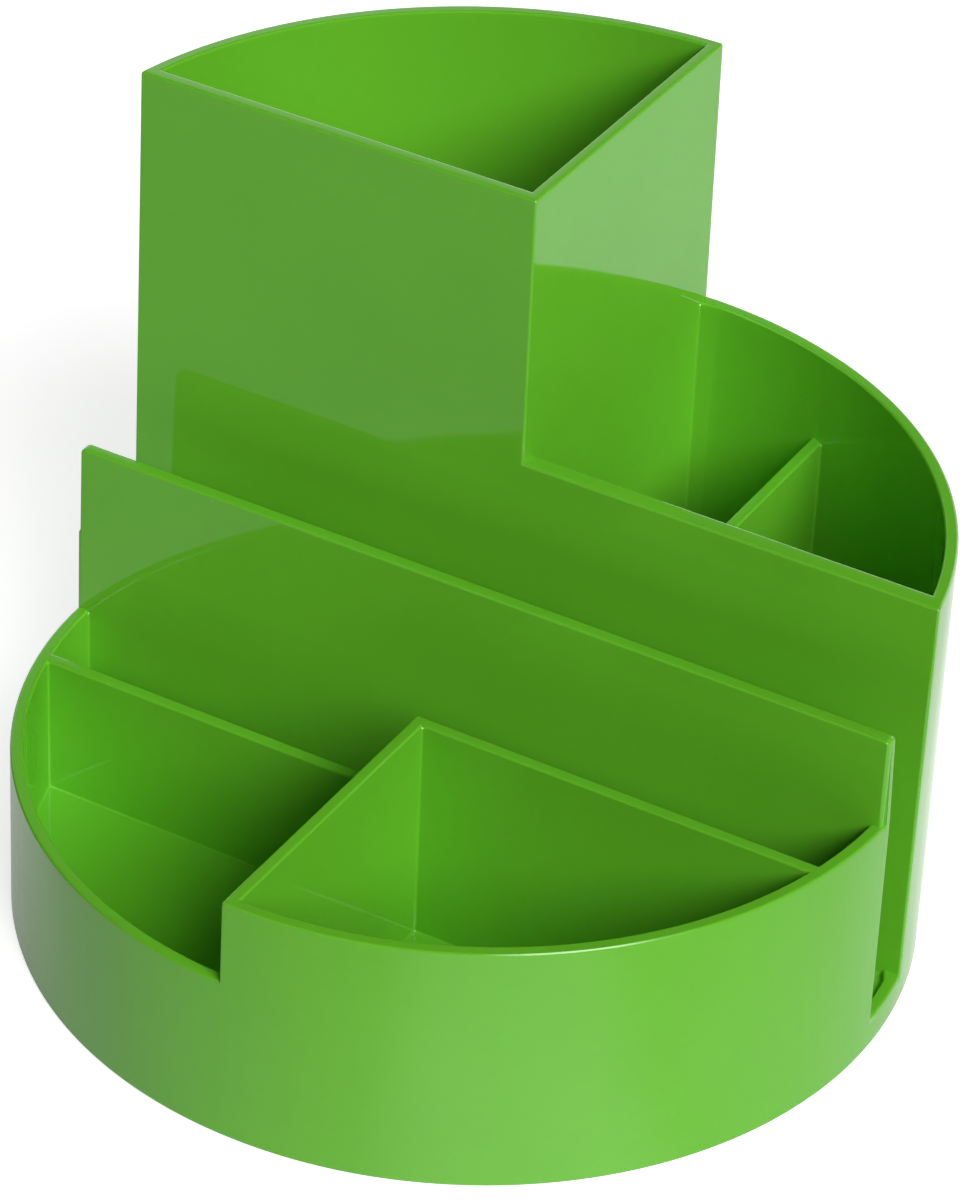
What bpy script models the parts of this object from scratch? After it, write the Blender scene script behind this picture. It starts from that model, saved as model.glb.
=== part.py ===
"""Round desk holder for pens and small things, in metres, +Z up.

A disc carries upright walls that divide a circle into six wells and an open letter slot. The slot runs
along X through the middle. In front of it, towards -Y, are a narrow strip, a low tray at the left and a
quadrant bin at the right. Behind it are the tall pen tower at the left and two middling bins at the right.
The origin is the centre of the circle, on the surface that the holder stands on.

The real holder is one moulding. Here its base and each of its walls is a solid of its own, and neighbours
stay one seam apart.
"""
import math
from typing import NamedTuple

import bmesh
import bpy

# Sizes of the whole
base_diameter = 0.150
wall_thickness = 0.0022
cross_wall_thickness = 0.0024
edge_radius = 0.0004
seam = 0.0003
rim_draft_deg = 0.12
wall_draft_deg = 0.5

# The base stands on a ring round a shallow recess
standing_ring_width = 0.0045
underside_height = 0.0025
floor_height = 0.0048

# Heights of the rims above the surface that the holder stands on
slot_lip_height = 0.0060
tray_height = 0.0302
quadrant_height = 0.0456
rear_divider_height = 0.0614
middle_height = 0.0618
rear_height = 0.0773
tower_height = 0.1253

# Places in plan, each taken at the wall's rim, where it is thinnest
middle_front_y = -0.0030
slot_width = 0.0137
strip_width = 0.0139
tower_right_x = -0.0006
quadrant_left_x = -0.0010
rear_divider_left_x = 0.0243

# Steps of the full circle and of a rounded edge
arc_steps = 144
edge_steps = 2

# Cutters and unfinished ends reach past the circle by this much
overrun = 0.010

# The moulding's colour and gloss
green = (0.130, 0.400, 0.030, 1.0)
green_roughness = 0.12


def lean(drop):
    """How far a drafted wall face has moved outwards at this distance below its rim."""
    return drop * math.tan(math.radians(wall_draft_deg))


class Side(NamedTuple):
    """A flat face by its place at the rim, that rim's height, and the way it leans on the way down."""
    place: float
    rim: float = 0
    leans: int = 0

    def at(self, height):
        return self.place + self.leans * lean(self.rim - height)

    def moved(self, distance):
        return self._replace(place=self.place + distance)


# Heights and radii that follow
foot = floor_height + seam
base_radius = base_diameter / 2
far = base_radius + overrun
above = tower_height + overrun

# The walls' faces, named by where they look from the wall's middle
middle_front = Side(middle_front_y, middle_height, -1)
middle_back = Side(middle_front_y + cross_wall_thickness, middle_height, 1)
rear_front = middle_back.moved(slot_width)._replace(rim=tower_height, leans=-1)
rear_back = rear_front.moved(cross_wall_thickness)._replace(leans=1)
tower_right = Side(tower_right_x, tower_height, 1)
tower_left = tower_right.moved(-wall_thickness)._replace(leans=-1)
divider_left = Side(rear_divider_left_x, rear_divider_height, -1)
divider_right = divider_left.moved(wall_thickness)._replace(leans=1)
partition_back = middle_front.moved(-strip_width)._replace(rim=quadrant_height, leans=1)
partition_front = partition_back.moved(-wall_thickness)._replace(leans=-1)
quadrant_left = Side(quadrant_left_x, quadrant_height, -1)
quadrant_right = quadrant_left.moved(wall_thickness)._replace(leans=1)
beyond_low = Side(-far)
beyond_high = Side(far)


def rim_radius(height):
    """Radius of the holder's outer surface, which narrows a little towards the top."""
    return base_radius - height * math.tan(math.radians(rim_draft_deg))


def well_radius(rim_height, height):
    """Radius of a rim's inner surface, which leans in on the way down."""
    return rim_radius(rim_height) - wall_thickness - lean(rim_height - height)


def plastic(name):
    """The glossy green plastic of one piece."""
    material = bpy.data.materials.new(name + "_plastic")
    material.use_nodes = True
    shader = material.node_tree.nodes["Principled BSDF"]
    shader.inputs["Base Color"].default_value = green
    shader.inputs["Roughness"].default_value = green_roughness
    shader.inputs["Metallic"].default_value = 0
    return material


def add_part(name, mesh):
    """Puts a named piece in the holder's collection, in its own plastic."""
    mesh.shade_smooth()
    mesh.set_sharp_from_angle(angle=math.radians(30))
    mesh.materials.append(plastic(name))
    part = bpy.data.objects.new(name, mesh)
    holder.objects.link(part)
    return part


def add_cutter(name, mesh):
    cutter = bpy.data.objects.new(name, mesh)
    cutters.objects.link(cutter)
    cutter.hide_render = True
    cutter.display_type = "WIRE"
    return cutter


def trim(part, operation, cutter):
    """Cuts a piece by a cutter, or keeps only what lies inside the cutter."""
    boolean = part.modifiers.new(cutter.name, "BOOLEAN")
    boolean.operation = operation
    boolean.solver = "EXACT"
    boolean.object = cutter


def round_edges(part):
    """Rounds the edges that the piece's mesh marks with a bevel weight."""
    bevel = part.modifiers.new("rounded_edges", "BEVEL")
    bevel.limit_method = "WEIGHT"
    bevel.width = edge_radius
    bevel.segments = edge_steps


def sides_of_edge(edge):
    """Names the two sides of a unit box that meet at an edge, such as "east top"."""
    middle = (edge.verts[0].co + edge.verts[1].co) / 2
    names = (("west", "east"), ("south", "north"), ("foot", "top"))
    return " ".join(pair[place > 0] for pair, place in zip(names, middle) if place)


def box_mesh(name, west, east, south, north, low, high, rounded=()):
    """A box between four sides that may lean. West is -X, south is -Y, and the rounded edges are named."""
    shape = bmesh.new()
    bmesh.ops.create_cube(shape, size=1)
    weights = shape.edges.layers.float.new("bevel_weight_edge")
    for edge in shape.edges:
        edge[weights] = sides_of_edge(edge) in rounded
    for corner in shape.verts:
        height = high if corner.co.z > 0 else low
        across = east if corner.co.x > 0 else west
        along = north if corner.co.y > 0 else south
        corner.co = (across.at(height), along.at(height), height)
    mesh = bpy.data.meshes.new(name)
    shape.to_mesh(mesh)
    shape.free()
    return mesh


def turned_mesh(name, profile):
    """Turns a profile of (radius, height) points round the Z axis. It runs down its outer side."""
    line = bpy.data.meshes.new(name + "_profile")
    ends = zip(range(len(profile)), range(1, len(profile)))
    line.from_pydata([(radius, 0, height) for radius, height in profile], list(ends), [])
    turned = bpy.data.objects.new(name + "_profile", line)
    holder.objects.link(turned)
    screw = turned.modifiers.new("turned", "SCREW")
    screw.steps = screw.render_steps = arc_steps
    screw.use_merge_vertices = True
    screw.merge_threshold = seam / 100
    bpy.context.view_layer.update()
    mesh = bpy.data.meshes.new_from_object(turned.evaluated_get(bpy.context.evaluated_depsgraph_get()))
    mesh.name = name
    bpy.data.objects.remove(turned)
    bpy.data.meshes.remove(line)
    shape = bmesh.new()
    shape.from_mesh(mesh)
    bmesh.ops.remove_doubles(shape, verts=shape.verts, dist=seam / 100)
    shape.to_mesh(mesh)
    shape.free()
    return mesh


def quarter_turn(centre_radius, centre_height, start_deg):
    """Points of a rounded edge of a profile, clockwise from the starting direction."""
    angles = [math.radians(start_deg - 90 * step / edge_steps) for step in range(edge_steps + 1)]
    return [
        (centre_radius + edge_radius * math.cos(angle), centre_height + edge_radius * math.sin(angle))
        for angle in angles
    ]


def frustum(name, low_radius, high_radius, low, high):
    """A cutter that is a drafted round block between two heights."""
    shape = bmesh.new()
    bmesh.ops.create_cone(
        shape, cap_ends=True, segments=arc_steps, radius1=low_radius, radius2=high_radius, depth=high - low
    )
    bmesh.ops.translate(shape, vec=(0, 0, (low + high) / 2), verts=shape.verts)
    mesh = bpy.data.meshes.new(name)
    shape.to_mesh(mesh)
    shape.free()
    return add_cutter(name, mesh)


def block(name, west=beyond_low, east=beyond_high, south=beyond_low, north=beyond_high):
    """A cutter that takes everything between its sides, from below the base to above the tower."""
    return add_cutter(name, box_mesh(name, west, east, south, north, -overrun, above))


def well_cutter(name, rim_height):
    """A cutter of the space inside a rim, one seam away from it."""
    low_radius = well_radius(rim_height, -overrun) - seam
    high_radius = well_radius(rim_height, above) - seam
    return frustum(name, low_radius, high_radius, -overrun, above)


def add_base():
    """The floor of every well, on a ring that stands a recess clear of the table."""
    ring_inner = base_radius - standing_ring_width
    recess_radius = ring_inner - lean(underside_height)
    profile = [(0, floor_height), (rim_radius(floor_height), floor_height)]
    profile += quarter_turn(base_radius - edge_radius, edge_radius, 0)
    profile += [(ring_inner, 0), (recess_radius, underside_height), (0, underside_height)]
    add_part("base", turned_mesh("base", profile))


def add_rim(name, rim_height, *cuts):
    """A stretch of the outer wall, up to its rounded rim."""
    top = rim_height - edge_radius
    inner = well_radius(rim_height, rim_height)
    profile = quarter_turn(inner + edge_radius, top, 180)
    profile += quarter_turn(rim_radius(rim_height) - edge_radius, top, 90)
    profile += [(rim_radius(foot), foot), (well_radius(rim_height, foot), foot)]
    profile.append(profile[0])
    rim = add_part(name, turned_mesh(name, profile))
    for cutter in cuts:
        trim(rim, "DIFFERENCE", cutter)


def add_wall(name, top, within, rounded, **sides):
    """A straight wall that stands on the base. Its open ends follow the round cutter that it lies within."""
    places = {"west": beyond_low, "east": beyond_high, "south": beyond_low, "north": beyond_high, **sides}
    wall = add_part(name, box_mesh(name, low=foot, high=top, rounded=rounded, **places))
    round_edges(wall)
    trim(wall, "INTERSECT", within)


def build():
    before_middle = block("before_middle_wall", south=middle_front.moved(-seam))
    before_rear = block("before_rear_wall", north=rear_back.moved(seam))
    left_of_quadrant = block("left_of_quadrant", east=quadrant_left)
    right_of_tray = block("right_of_tray", west=quadrant_left.moved(-seam))
    left_of_rear_bins = block("left_of_rear_bins", east=tower_right.moved(seam))
    right_of_tower = block("right_of_tower", west=tower_right)
    beside_slot_front = block("beside_slot_front", north=middle_back.moved(seam))
    beside_slot_back = block("beside_slot_back", south=rear_front.moved(-seam))
    left_half = block("left_half", east=Side(0))
    right_half = block("right_half", west=Side(0))

    outside = frustum("outside", rim_radius(-overrun), rim_radius(above), -overrun, above)
    ends_low = base_radius + lean(overrun)
    ends_high = base_radius - lean(above)
    middle_ends = frustum("middle_ends", ends_low, ends_high, -overrun, above)
    tray_well = well_cutter("tray_well", tray_height)
    quadrant_well = well_cutter("quadrant_well", quadrant_height)
    rear_well = well_cutter("rear_well", rear_height)
    tower_well = well_cutter("tower_well", tower_height)

    add_base()
    add_rim("slot_lip_left", slot_lip_height, right_half, beside_slot_front, beside_slot_back)
    add_rim("slot_lip_right", slot_lip_height, left_half, beside_slot_front, beside_slot_back)
    add_rim("tray_rim", tray_height, before_middle, right_of_tray)
    add_rim("quadrant_rim", quadrant_height, before_middle, left_of_quadrant)
    add_rim("rear_rim", rear_height, before_rear, left_of_rear_bins)
    add_rim("tower_rim", tower_height, before_rear, right_of_tower)

    long_edges = ("south top", "north top")
    add_wall("middle_wall", middle_height, middle_ends, long_edges, south=middle_front, north=middle_back)
    add_wall(
        "tower_front_wall", tower_height, outside, (*long_edges, "east top", "east south"),
        south=rear_front, north=rear_back, east=tower_right,
    )
    add_wall(
        "tower_side_wall", tower_height, tower_well, ("west top", "east top"),
        west=tower_left, east=tower_right, south=rear_back.moved(seam),
    )
    add_wall(
        "rear_front_wall", rear_height, outside, long_edges,
        south=rear_front, north=rear_back, west=tower_right.moved(seam),
    )
    add_wall(
        "rear_divider", rear_divider_height, rear_well, ("west top", "east top"),
        west=divider_left, east=divider_right, south=rear_back.moved(seam),
    )
    add_wall(
        "tray_divider", tray_height, tray_well, long_edges,
        south=partition_front._replace(rim=tray_height), north=partition_back._replace(rim=tray_height),
        east=quadrant_left.moved(-seam),
    )
    add_wall(
        "quadrant_back_wall", quadrant_height, quadrant_well, (*long_edges, "west top", "west north"),
        south=partition_front, north=partition_back, west=quadrant_left,
    )
    add_wall(
        "quadrant_side_wall", quadrant_height, quadrant_well, ("west top", "east top"),
        west=quadrant_left, east=quadrant_right, north=partition_front.moved(-seam),
    )


for old in list(bpy.data.objects):
    bpy.data.objects.remove(old)
holder = bpy.data.collections.new("desk_holder")
cutters = bpy.data.collections.new("cutters")
bpy.context.scene.collection.children.link(holder)
bpy.context.scene.collection.children.link(cutters)
build()
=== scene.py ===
"""Looks of the round desk holder: one seamless glossy green moulding on a white studio floor, in metres."""
import math
from typing import NamedTuple

import bmesh
import bpy
from mathutils import Matrix, Vector
from mathutils.geometry import delaunay_2d_cdt


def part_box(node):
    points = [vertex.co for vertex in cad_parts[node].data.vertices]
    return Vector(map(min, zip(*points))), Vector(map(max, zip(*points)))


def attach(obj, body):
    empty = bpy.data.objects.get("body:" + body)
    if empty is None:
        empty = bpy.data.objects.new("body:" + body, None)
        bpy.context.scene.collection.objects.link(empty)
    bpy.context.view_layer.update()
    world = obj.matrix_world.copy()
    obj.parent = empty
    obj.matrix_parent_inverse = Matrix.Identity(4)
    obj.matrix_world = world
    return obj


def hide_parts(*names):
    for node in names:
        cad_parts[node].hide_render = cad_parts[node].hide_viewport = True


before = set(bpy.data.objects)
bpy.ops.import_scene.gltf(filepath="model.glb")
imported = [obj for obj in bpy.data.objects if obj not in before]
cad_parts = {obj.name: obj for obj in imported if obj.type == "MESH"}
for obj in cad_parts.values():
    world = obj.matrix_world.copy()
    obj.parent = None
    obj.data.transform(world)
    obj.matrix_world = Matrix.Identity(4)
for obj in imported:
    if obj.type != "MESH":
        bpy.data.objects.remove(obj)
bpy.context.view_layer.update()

# Heights of the moulding's levels, from the solids that it stands for
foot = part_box("middle_wall")[0].z
floor_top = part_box("base")[1].z
lip_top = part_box("slot_lip_left")[1].z
tray_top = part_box("tray_rim")[1].z
quadrant_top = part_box("quadrant_rim")[1].z
divider_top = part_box("rear_divider")[1].z
middle_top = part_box("middle_wall")[1].z
rear_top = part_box("rear_rim")[1].z
tower_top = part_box("tower_rim")[1].z

# Sizes of the round walls, their drafts and the underside
base_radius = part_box("base")[1].x
wall_thickness = 0.0022
rim_draft = math.tan(math.radians(0.12))
wall_draft = math.tan(math.radians(0.5))
ring_width = 0.0045
recess_height = 0.0025

# Radii of the moulding's rounded edges
edge_radius = 0.0005
base_edge_radius = 0.0006
end_radius = 0.0009

# Steps round the circle and across a rounded edge, the least fold that is rounded, and the most that counts
# as flat
arc_step_deg = 1.25
edge_steps = 3
end_steps = 5
fold = math.radians(25)
flat_fold = math.radians(0.5)
round_profile = 0.5
flat_face_weight = 100

# Each storey of the moulding is this much inside the next higher one, so that no two of their faces coincide
storey_inset = 0.000001

# Light of the studio: azimuth, elevation, core and edge of each soft box in degrees, and its strength
soft_boxes = (
    (56, 38, 11, 21, 11.0),
    (40, 28, 8, 16, 0.65),
    (75, 36, 8, 16, 1.55),
    (180, 8, 14, 34, 2.0),
    (225, 8, 14, 34, 1.4),
)

# Places in the plan that are nearer than tiny are the same. A step on a circle strays from it by less than
# circle_slack, corners nearer than merge_reach are merged, and lines go on past the circle by reach.
tiny = 0.00001
circle_slack = 5 * tiny
merge_reach = tiny / 100
reach = 0.002


class Face(NamedTuple):
    """A flat side of a wall, by its place at the wall's foot. Going up it leans towards + or -."""
    axis: int
    place: float
    turn: int

    def at(self, height, inset):
        return self.place + self.turn * ((height - foot) * wall_draft + inset)


def low_face(node, axis):
    return Face(axis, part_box(node)[0][axis], 1)


def high_face(node, axis):
    return Face(axis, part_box(node)[1][axis], -1)


X, Y = range(2)
middle_front = low_face("middle_wall", Y)
middle_back = high_face("middle_wall", Y)
rear_front = low_face("tower_front_wall", Y)
rear_back = high_face("tower_front_wall", Y)
tower_left = low_face("tower_side_wall", X)
tower_right = high_face("tower_side_wall", X)
divider_left = low_face("rear_divider", X)
divider_right = high_face("rear_divider", X)
tray_back = low_face("tray_divider", Y)
strip_front = high_face("quadrant_back_wall", Y)
quadrant_back = low_face("quadrant_back_wall", Y)
quadrant_left = low_face("quadrant_side_wall", X)
quadrant_right = high_face("quadrant_side_wall", X)

far = base_radius + reach
well_radius = base_radius - wall_thickness
ring_radius = base_radius - ring_width

# Each circle of the plan, and how many of its corners are left out on both sides of a wall that meets it
bare_steps_on = {base_radius: 1, well_radius: 2, ring_radius: 1}

# Each face's line in the plan, between two places on the other axis
plan_lines = [
    (middle_front, -far, far),
    (middle_back, -far, far),
    (rear_front, -far, far),
    (rear_back, -far, far),
    (strip_front, -far, far),
    (tray_back, -far, quadrant_left.place),
    (quadrant_back, quadrant_right.place, far),
    (quadrant_left, -far, strip_front.place),
    (quadrant_right, -far, quadrant_back.place),
    (tower_left, rear_back.place, far),
    (tower_right, rear_front.place, far),
    (divider_left, rear_back.place, far),
    (divider_right, rear_back.place, far),
]
faces = [line[0] for line in plan_lines]


def top_at(x, y):
    """Height of the moulding's upper surface at a place in the plan."""
    on_rim = math.hypot(x, y) > well_radius
    if y > rear_front.place:
        on_front = y < rear_back.place
        if x < tower_right.place:
            return tower_top if on_rim or on_front or x > tower_left.place else floor_top
        if on_rim or on_front:
            return rear_top
        return divider_top if divider_left.place < x < divider_right.place else floor_top
    if y > middle_back.place:
        return lip_top if on_rim else floor_top
    if y > middle_front.place:
        return middle_top
    if on_rim or strip_front.place > y:
        if x < quadrant_left.place:
            return tray_top if on_rim or y > tray_back.place else floor_top
        if on_rim or y > quadrant_back.place or x < quadrant_right.place:
            return quadrant_top
    return floor_top


def bottom_at(x, y):
    """Height of the moulding's underside at a place in the plan."""
    return 0 if math.hypot(x, y) > ring_radius else recess_height


def rim_radius(height):
    """Radius of the rims' outer side at a height."""
    return base_radius - height * rim_draft


def rim_top_at(x, y):
    """Height of the rim that stands round a place in the plan."""
    if y > rear_front.place - tiny:
        return tower_top if x < tower_right.place + tiny else rear_top
    if y > middle_back.place - tiny:
        return lip_top
    return quadrant_top if x > quadrant_left.place - tiny else tray_top


def radius_at(circle, x, y, height):
    """Radius that a circle of the plan takes at a height, once its wall leans by its draft."""
    if circle == well_radius:
        rim_top = rim_top_at(x, y)
        return rim_radius(rim_top) - wall_thickness - (rim_top - height) * wall_draft
    if circle == ring_radius:
        return ring_radius - height * wall_draft
    on_middle_wall = middle_front.place - tiny < y < middle_back.place + tiny
    if on_middle_wall and height > quadrant_top + tiny:
        return base_radius - height * wall_draft
    return rim_radius(height)


def leaned(corner, inset):
    """Where a corner of the upright plan lies once the walls that meet there lean by their draft."""
    x, y, height = corner
    place = [x, y]
    held = [face for face in faces if abs(place[face.axis] - face.place) < tiny]
    circles = [
        circle for circle in bare_steps_on
        if abs(math.hypot(x, y) - circle) < circle_slack
    ]
    for face in held:
        place[face.axis] = face.at(height, inset)
    if circles:
        outward = 1 if circles[0] < base_radius else -1
        radius = radius_at(circles[0], x, y, height) + outward * inset
        if held:
            across = held[0].axis
            along = 1 - across
            place[along] = math.copysign(math.sqrt(radius ** 2 - place[across] ** 2), place[along])
        else:
            grown = radius / math.hypot(x, y)
            place = [x * grown, y * grown]
    upward = 1 if height < floor_top - tiny else -1
    return Vector((*place, height + upward * inset))


def circle_angles(circle):
    """Angles of a circle's corners: one at the middle of each wall that meets it, and even steps between.

    The first corners are left out on both sides of a wall, so that the small roundings there have room.
    """
    bare_steps = bare_steps_on[circle]
    marks = []
    for low, high in ((middle_front, middle_back), (rear_front, rear_back), (quadrant_back, strip_front)):
        angle = math.asin((low.place + high.place) / 2 / well_radius)
        marks += [angle, math.pi - angle]
    for low, high, side in (
        (quadrant_left, quadrant_right, -1), (tower_left, tower_right, 1), (divider_left, divider_right, 1),
    ):
        marks.append(side * math.acos((low.place + high.place) / 2 / well_radius))
    marks = sorted(mark % math.tau for mark in marks)
    angles = []
    for mark, following in zip(marks, marks[1:] + [marks[0] + math.tau]):
        steps = round((following - mark) / math.radians(arc_step_deg))
        kept = (0, *range(1 + bare_steps, steps - bare_steps))
        angles += [mark + (following - mark) * step / steps for step in kept]
    return angles


def plan_triangles():
    """The plan's places and its triangles, divided along every circle and line."""
    places = []
    edges = []
    for circle in bare_steps_on:
        first = len(places)
        angles = circle_angles(circle)
        places += [Vector((circle * math.cos(angle), circle * math.sin(angle))) for angle in angles]
        count = len(places) - first
        edges += [(first + step, first + (step + 1) % count) for step in range(count)]
    disc = list(range(len(circle_angles(base_radius))))
    for face, start, end in plan_lines:
        for along in (start, end):
            places.append(Vector((face.place, along) if face.axis == X else (along, face.place)))
        edges.append((len(places) - 2, len(places) - 1))
    places, _, triangles, _, _, origins = delaunay_2d_cdt(places, edges, [disc], 0, merge_reach)
    return places, [triangle for triangle, origin in zip(triangles, origins) if origin]


def sharp_storey(level):
    """What of the moulding is as high as a level, cut off there, on a bare floor.

    Its walls are upright and its edges sharp.
    """
    places, triangles = plan_triangles()
    middles = [sum((places[corner] for corner in triangle), Vector((0, 0))) / 3 for triangle in triangles]
    tops = [level if top_at(*middle) > level - tiny else floor_top for middle in middles]
    bottoms = [bottom_at(*middle) for middle in middles]
    owners = {}
    levels = [set() for _ in places]
    for index, triangle in enumerate(triangles):
        for corner, following in zip(triangle, triangle[1:] + triangle[:1]):
            owners[corner, following] = index
            levels[corner] |= {tops[index], bottoms[index]}

    shape = bmesh.new()
    corners = {}

    def corner_at(place, height):
        if (place, height) not in corners:
            corners[place, height] = shape.verts.new((*places[place], height))
        return corners[place, height]

    def add_wall(start, end, low, high):
        rising = [corner_at(end, height) for height in sorted(levels[end]) if low <= height <= high]
        downward = sorted(levels[start], reverse=True)
        falling = [corner_at(start, height) for height in downward if low <= height <= high]
        shape.faces.new(rising + falling)

    for index, triangle in enumerate(triangles):
        shape.faces.new([corner_at(corner, tops[index]) for corner in triangle])
        shape.faces.new([corner_at(corner, bottoms[index]) for corner in reversed(triangle)])
        for start, end in zip(triangle, triangle[1:] + triangle[:1]):
            beyond = owners.get((end, start))
            if beyond is None:
                add_wall(start, end, bottoms[index], tops[index])
                continue
            if tops[beyond] < tops[index]:
                add_wall(start, end, tops[beyond], tops[index])
            if bottoms[beyond] > bottoms[index]:
                add_wall(start, end, bottoms[index], bottoms[beyond])
    shape.normal_update()
    bmesh.ops.dissolve_limit(shape, angle_limit=flat_fold, verts=shape.verts, edges=shape.edges)
    return shape


def bend_wall_ends(shape):
    """Divides the outer ends of the middle wall at the level above which they lean in more."""
    ends = [
        face for face in shape.faces
        if all(abs(math.hypot(*corner.co.xy) - base_radius) < circle_slack for corner in face.verts)
        and middle_front.place < face.calc_center_median().y < middle_back.place
    ]
    edges = {edge for face in ends for edge in face.edges}
    bmesh.ops.bisect_plane(shape, geom=[*ends, *edges], plane_co=(0, 0, quadrant_top), plane_no=(0, 0, 1))


def round_wall_ends(shape):
    """Rounds the two ends of the middle wall's top, seen from the front."""
    ends = []
    for edge in shape.edges:
        on_top = all(abs(corner.co.z - middle_top) < tiny for corner in edge.verts)
        on_wall = all(middle_front.place < corner.co.y < middle_back.place for corner in edge.verts)
        if on_top and on_wall and edge.calc_length() < 2 * wall_thickness:
            ends.append(edge)
    bmesh.ops.bevel(
        shape, geom=ends, offset=end_radius, segments=end_steps, profile=round_profile,
        affect="EDGES", clamp_overlap=False,
    )


def storey(level, inset):
    """One storey of the moulding, with its drafts and rounded edges."""
    shape = sharp_storey(level)
    if level == middle_top:
        bend_wall_ends(shape)
    for corner in shape.verts:
        corner.co = leaned(corner.co, inset)
    if level == middle_top:
        round_wall_ends(shape)
    shape.normal_update()
    weights = shape.edges.layers.float.new("bevel_weight_edge")
    for edge in shape.edges:
        under_floor = max(corner.co.z for corner in edge.verts) < floor_top - tiny
        radius = base_edge_radius if under_floor else edge_radius
        edge[weights] = radius / base_edge_radius if edge.calc_face_angle(0) > fold else 0
    mesh = bpy.data.meshes.new("storey")
    shape.to_mesh(mesh)
    shape.free()
    piece = bpy.data.objects.new("storey", mesh)
    bpy.context.scene.collection.objects.link(piece)
    bevel = piece.modifiers.new("rounded_edges", "BEVEL")
    bevel.limit_method = "WEIGHT"
    bevel.width = base_edge_radius
    bevel.segments = edge_steps
    bevel.use_clamp_overlap = False
    bevel.miter_outer = "MITER_SHARP"
    return finished(piece)


def moulding():
    """The whole moulding: its storeys joined, with smooth bends and sharp inside corners."""
    levels = (tower_top, rear_top, middle_top, divider_top, quadrant_top, tray_top, lip_top)
    piece, *lower = [storey(level, rank * storey_inset) for rank, level in enumerate(levels)]
    piece.name = "moulded_holder"
    for other in lower:
        union = piece.modifiers.new("storey", "BOOLEAN")
        union.operation = "UNION"
        union.solver = "MANIFOLD"
        union.object = other
    finished(piece)
    for other in lower:
        bpy.data.objects.remove(other)
    piece.data.shade_smooth()
    piece.data.set_sharp_from_angle(angle=fold)
    normals = piece.modifiers.new("flat_faces", "WEIGHTED_NORMAL")
    normals.weight = flat_face_weight
    normals.keep_sharp = True
    return finished(piece)


def finished(piece):
    """Turns a piece's modifiers into plain mesh."""
    bpy.context.view_layer.update()
    mesh = bpy.data.meshes.new_from_object(piece.evaluated_get(bpy.context.evaluated_depsgraph_get()))
    piece.modifiers.clear()
    piece.data = mesh
    return piece


class Socket:
    """A shader value. Sums on it add Math nodes to its tree."""

    def __init__(self, nodes, output):
        self.nodes = nodes
        self.output = output

    def maths(self, operation, *others, clamp=False):
        settings = {"operation": operation, "use_clamp": clamp}
        return self.nodes.add("Math", settings, dict(enumerate((self, *others))))

    def __add__(self, other):
        return self.maths("ADD", other)

    __radd__ = __add__

    def __mul__(self, other):
        return self.maths("MULTIPLY", other)

    __rmul__ = __mul__

    def __sub__(self, other):
        return self.maths("SUBTRACT", other)

    def __rsub__(self, other):
        return self * -1 + other


class Nodes:
    """The nodes of one material or world."""

    def __init__(self, owner):
        owner.use_nodes = True
        self.tree = owner.node_tree

    def set(self, slot, value):
        """Sets a socket's value, or links it."""
        if isinstance(value, Socket):
            self.tree.links.new(value.output, slot)
        else:
            slot.default_value = value

    def fill(self, name, sockets):
        """Sets or links sockets of the node that has a name."""
        for key, value in sockets.items():
            self.set(self.tree.nodes[name].inputs[key], value)

    def add(self, kind, settings, sockets, output=0):
        """Adds a node with its settings, then its sockets' values or links, and gives one of its outputs."""
        node = self.tree.nodes.new("ShaderNode" + kind)
        for name, value in settings.items():
            setattr(node, name, value)
        for key, value in sockets.items():
            self.set(node.inputs[key], value)
        return Socket(self, node.outputs[output])

    def noise(self, place, wavelength, detail):
        """Smooth noise between 0 and 1 over a surface."""
        return self.add("TexNoise", {}, {"Vector": place, "Scale": 1 / wavelength, "Detail": detail})

    def blend(self, low, high, value):
        """1 where a value is at high, 0 at low, and smooth between."""
        sockets = {"Value": value, "From Min": low, "From Max": high}
        return self.add("MapRange", {"interpolation_type": "SMOOTHSTEP"}, sockets)

    def mix(self, share, one, other):
        """A colour between two."""
        return self.add("Mix", {"data_type": "RGBA"}, {"Factor": share, 6: one, 7: other}, 2)


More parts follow.
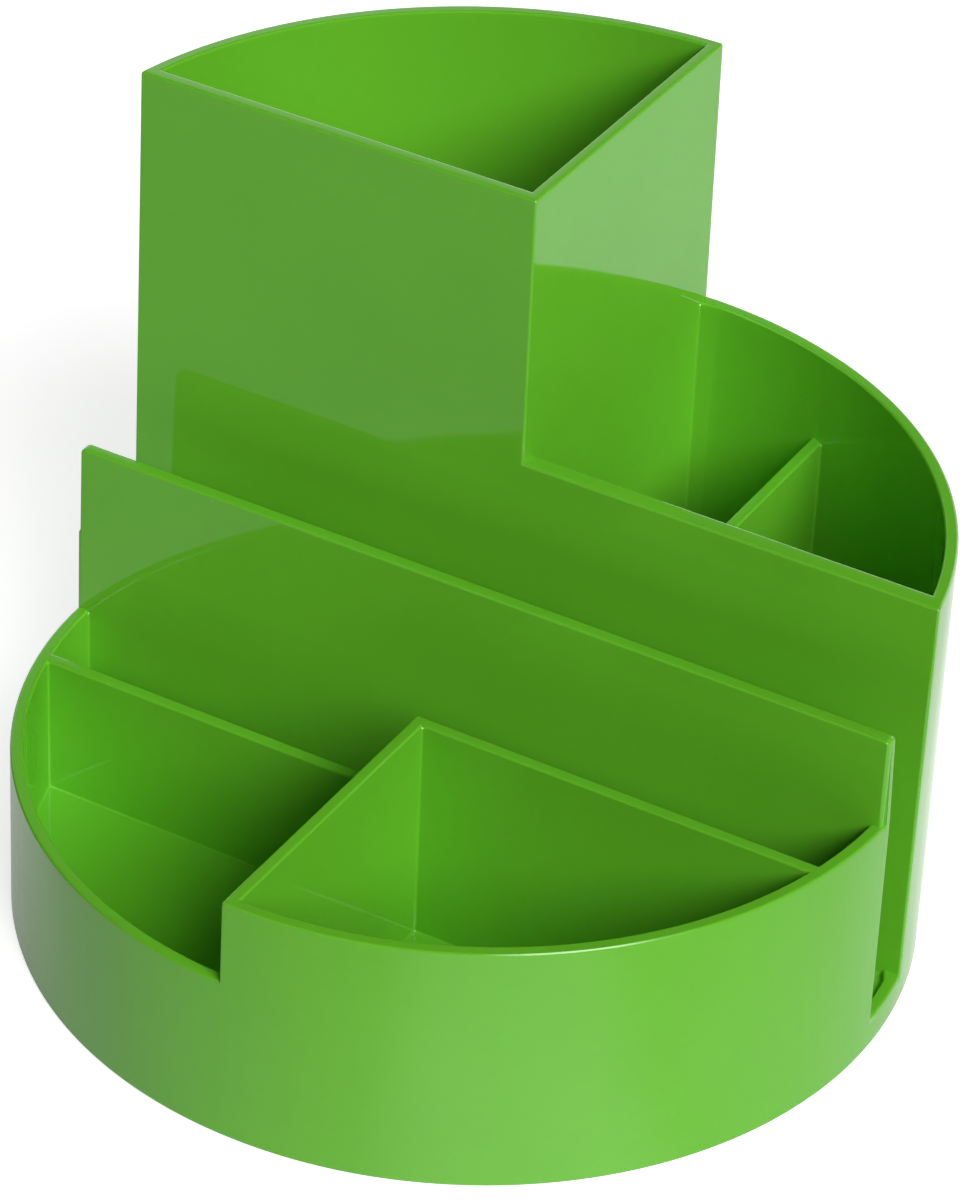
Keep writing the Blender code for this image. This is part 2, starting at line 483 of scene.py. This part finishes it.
def green_plastic():
    """Polished bright green plastic, as it comes from the mould."""
    pale_green = (0.146, 0.524, 0.0260, 1)
    deep_green = (0.136, 0.500, 0.0230, 1)
    dust_grey = (0.42, 0.52, 0.36, 1)
    flow_length = 0.035
    flow_contrast = 3
    mottle_length = 0.0025
    mottle_contrast = 0.6
    wave_length = 0.011
    wave_height = 0.000012
    peel_length = 0.0016
    peel_height = 0.0000004
    sink_width = 0.0018
    sink_depth = 0.000012
    speck_spacing = 0.009
    speck_radius = 0.00011
    speck_cover = 0.5
    speck_share = 0.4
    least_roughness = 0.03
    roughness_range = 0.05
    speck_roughness = 0.4
    refraction = 1.5

    material = bpy.data.materials.new("green_plastic")
    nodes = Nodes(material)
    place = nodes.add("TexCoord", {}, {}, "Object")
    x = nodes.add("SeparateXYZ", {}, {"Vector": place}, "X")
    y = nodes.add("SeparateXYZ", {}, {"Vector": place}, "Y")

    flow = nodes.noise(place, flow_length, 2)
    mottle = nodes.noise(place, mottle_length, 1)
    paleness = 0.5 + (flow - 0.5) * flow_contrast + (mottle - 0.5) * mottle_contrast
    green = nodes.mix(paleness.maths("ADD", 0, clamp=True), deep_green, pale_green)
    cell = {"Vector": place, "Scale": 1 / speck_spacing, "Randomness": 1}
    nearness = nodes.add("TexVoronoi", {}, cell, "Distance") * speck_spacing
    chance = nodes.add("SeparateColor", {}, {"Color": nodes.add("TexVoronoi", {}, cell, "Color")})
    kept_specks = chance.maths("GREATER_THAN", 1 - speck_share)
    specks = nodes.blend(speck_radius, speck_radius / 2, nearness) * kept_specks
    colour = nodes.mix(specks * speck_cover, green, dust_grey)

    middle = (divider_left.place + divider_right.place) / 2
    on_arc = y.maths("GREATER_THAN", well_radius / 2)
    sink = nodes.blend(sink_width / 2, 0, (x - middle).maths("ABSOLUTE")) * on_arc
    waves = nodes.noise(place, wave_length, 1) * wave_height
    height = waves + nodes.noise(place, peel_length, 2) * peel_height - sink * sink_depth
    bump = nodes.add("Bump", {}, {"Strength": 1, "Distance": 1, "Height": height}, "Normal")
    roughness = nodes.noise(place, wave_length, 4) * roughness_range + least_roughness
    roughness += specks * speck_roughness
    nodes.fill("Principled BSDF", {
        "Base Color": colour, "Roughness": roughness, "Normal": bump, "IOR": refraction,
    })
    return material


def white_floor():
    """A white studio floor that keeps the holder's shadow.

    Seen only in the holder's gloss, the floor also glows brighter close by, behind, and towards the key
    light's side: a painted reflection that puts a sheen and a glint on the holder's walls.
    """
    size = 4.0
    floor_white = (0.65, 0.65, 0.65, 1)
    camera_glow = 0.75
    back_start = -0.02
    back_end = 0.15
    back_glow = 0.47
    near_start = 0.15
    near_end = 0.09
    near_glow = 0.3
    glint_azimuth = math.radians(37)
    glint_core = math.radians(3)
    glint_edge = math.radians(24)
    glint_glow = 0.65

    bpy.ops.mesh.primitive_grid_add(x_subdivisions=1, y_subdivisions=1, size=size)
    floor = bpy.context.object
    floor.name = "studio_floor"
    material = bpy.data.materials.new("studio_white")
    nodes = Nodes(material)
    place = nodes.add("TexCoord", {}, {}, "Object")
    back = nodes.blend(back_start, back_end, nodes.add("SeparateXYZ", {}, {"Vector": place}, "Y"))
    distance = nodes.add("VectorMath", {"operation": "LENGTH"}, {0: place}, "Value")
    near = nodes.blend(near_start, near_end, distance)
    outward = nodes.add("VectorMath", {"operation": "NORMALIZE"}, {0: place}, "Vector")
    glint_way = (math.sin(glint_azimuth), -math.cos(glint_azimuth), 0)
    alignment = nodes.add("VectorMath", {"operation": "DOT_PRODUCT"}, {0: outward, 1: glint_way}, "Value")
    glint = nodes.blend(math.cos(glint_edge), math.cos(glint_core), alignment)
    # Painted reflection: glow that only glossy rays see, brighter near the holder, behind it and towards the
    # glint, painting sheen on its walls
    painted_reflection_glow = back * back_glow + near * near_glow + glint * glint_glow
    painted_reflection = nodes.add("LightPath", {}, {}, "Is Glossy Ray") * painted_reflection_glow
    glow = nodes.add("LightPath", {}, {}, "Is Camera Ray") * camera_glow + painted_reflection
    white_glow = nodes.add("VectorMath", {"operation": "SCALE"}, {0: (1, 1, 1), "Scale": glow}, "Vector")
    nodes.fill("Principled BSDF", {
        "Base Color": floor_white, "Roughness": 1, "Specular IOR Level": 0,
        "Emission Color": white_glow, "Emission Strength": 1,
    })
    floor.data.materials.append(material)


def studio_world():
    """Soft boxes on a dark sky, each with its azimuth from the front towards the right, and its elevation."""
    world = bpy.data.worlds.new("studio")
    bpy.context.scene.world = world
    nodes = Nodes(world)
    gaze = nodes.add("TexCoord", {}, {}, "Generated")
    light = 0
    for azimuth, elevation, core, edge, strength in soft_boxes:
        around, above = math.radians(azimuth), math.radians(elevation)
        level = math.cos(above)
        middle = (math.sin(around) * level, -math.cos(around) * level, math.sin(above))
        alignment = nodes.add("VectorMath", {"operation": "DOT_PRODUCT"}, {0: gaze, 1: middle}, "Value")
        box = nodes.blend(math.cos(math.radians(edge)), math.cos(math.radians(core)), alignment)
        light = box * strength + light
    nodes.fill("Background", {"Color": (1, 1, 1, 1), "Strength": light})


def add_camera():
    """The photograph's camera, from a fit to the rims and corners that it shows."""
    image_height = 1200
    focal_px = 5305.7
    sensor_mm = 36
    yaw, pitch, roll = (math.radians(angle) for angle in (28.5705, 34.5432, 2.864))
    target = Vector((-0.006667, 0.013106, 0.048214))
    distance = 0.86486
    backward = Vector((math.sin(yaw) * math.cos(pitch), -math.cos(yaw) * math.cos(pitch), math.sin(pitch)))
    level = Vector((0, 0, 1)).cross(backward).normalized()
    upward = backward.cross(level)
    right = level * math.cos(roll) + upward * math.sin(roll)
    up = upward * math.cos(roll) - level * math.sin(roll)
    data = bpy.data.cameras.new("photo_camera")
    data.sensor_fit = "VERTICAL"
    data.sensor_height = sensor_mm
    data.lens = focal_px / image_height * sensor_mm
    camera = bpy.data.objects.new("photo_camera", data)
    turn = Matrix((right, up, backward)).transposed()
    camera.matrix_world = Matrix.Translation(target + backward * distance) @ turn.to_4x4()
    bpy.context.scene.collection.objects.link(camera)
    bpy.context.scene.camera = camera


bpy.context.scene.view_settings.view_transform = "Standard"
add_camera()
studio_world()
white_floor()
holder = moulding()
holder.data.materials.clear()
holder.data.materials.append(green_plastic())
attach(holder, "root")
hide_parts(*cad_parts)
